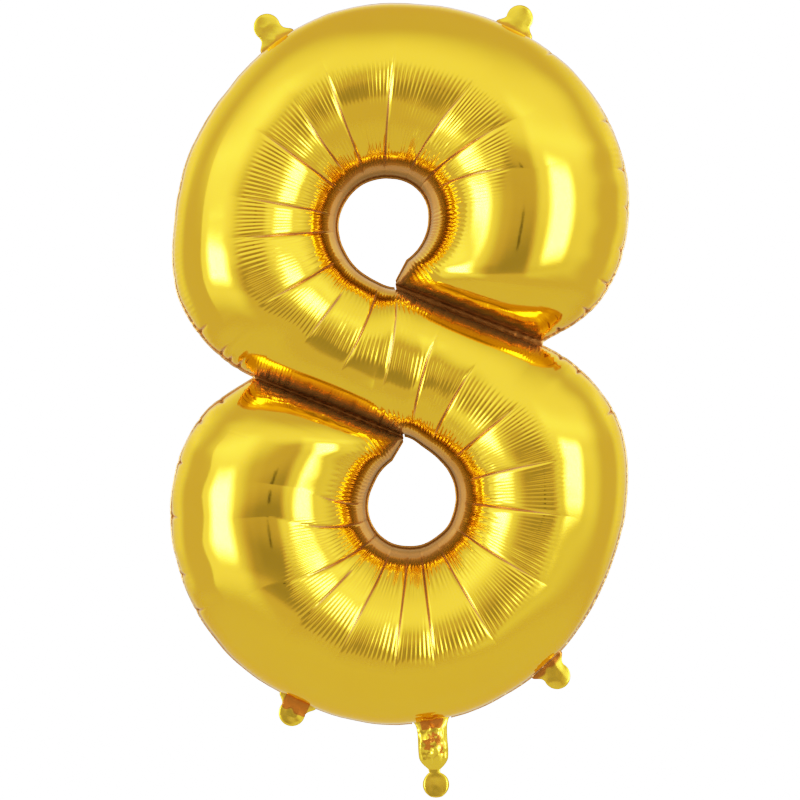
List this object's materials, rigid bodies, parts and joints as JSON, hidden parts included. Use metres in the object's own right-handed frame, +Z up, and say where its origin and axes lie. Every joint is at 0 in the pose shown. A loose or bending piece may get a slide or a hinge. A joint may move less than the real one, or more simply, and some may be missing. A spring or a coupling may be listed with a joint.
{
  "type": "foil number balloon",
  "caption": "Inflated metallised foil balloon in the shape of a figure eight, with hanging tabs and a folding tail that holds a self-sealing valve.",
  "frame": {"origin": "middle of the tail's waist, where the ribbon is tied", "axes": "+Z up the figure, -Y out of the front film, +X to the right seen from the front"},
  "size_m": [0.5527, 0.1996, 0.9545],
  "materials": {
    "gold_film": "metallised gold mirror film, tight and glossy",
    "gold_seam": "two films fused flat, glossy orange gold",
    "clear_film": "clear thin polyethylene film",
    "valve_ink": "printed heat-resistant ink"
  },
  "bodies": {
    "body": {"front_panel": "gold_film", "back_panel": "gold_film", "outer_seam": "gold_seam", "upper_eye_seam": "gold_seam", "lower_eye_seam": "gold_seam", "upper_divider_weld": "gold_seam", "lower_divider_weld": "gold_seam"},
    "neck": {"neck_front_film": "gold_film", "neck_back_film": "gold_film", "valve_front_film": "clear_film", "valve_back_film": "clear_film", "valve_ink_strip": "valve_ink"},
    "tail": {"tail_disc": "gold_seam"},
    "top_left_tab": {"top_left_tab": "gold_seam"},
    "top_right_tab": {"top_right_tab": "gold_seam"},
    "bottom_left_tab": {"bottom_left_tab": "gold_seam"},
    "bottom_right_tab": {"bottom_right_tab": "gold_seam"}
  },
  "joints": [
    {"name": "neck_fold", "type": "hinge", "parent": "body", "child": "neck", "pos_m": [-0.00307, 0, 0.05957], "axis": [0.9861, 0, 0.1663], "range_deg": [-50, 50], "stiffness_Nm_per_rad": 0.002},
    {"name": "tail_fold", "type": "hinge", "parent": "neck", "child": "tail", "pos_m": [0, 0, 0], "axis": [1, 0, 0], "range_deg": [-85, 85], "stiffness_Nm_per_rad": 0.0003},
    {"name": "top_left_fold", "type": "hinge", "parent": "body", "child": "top_left_tab", "pos_m": [-0.18911, 0, 0.87611], "axis": [0.8156, 0, 0.5787], "range_deg": [-80, 80], "stiffness_Nm_per_rad": 0.0005},
    {"name": "top_right_fold", "type": "hinge", "parent": "body", "child": "top_right_tab", "pos_m": [0.10097, 0, 0.88701], "axis": [0.8899, 0, -0.4561], "range_deg": [-80, 80], "stiffness_Nm_per_rad": 0.0005},
    {"name": "bottom_left_fold", "type": "hinge", "parent": "body", "child": "bottom_left_tab", "pos_m": [-0.17362, 0, 0.08546], "axis": [-0.8964, 0, 0.4432], "range_deg": [-80, 80], "stiffness_Nm_per_rad": 0.0005},
    {"name": "bottom_right_fold", "type": "hinge", "parent": "body", "child": "bottom_right_tab", "pos_m": [0.12736, 0, 0.11673], "axis": [-0.7642, 0, -0.6449], "range_deg": [-80, 80], "stiffness_Nm_per_rad": 0.0005}
  ]
}
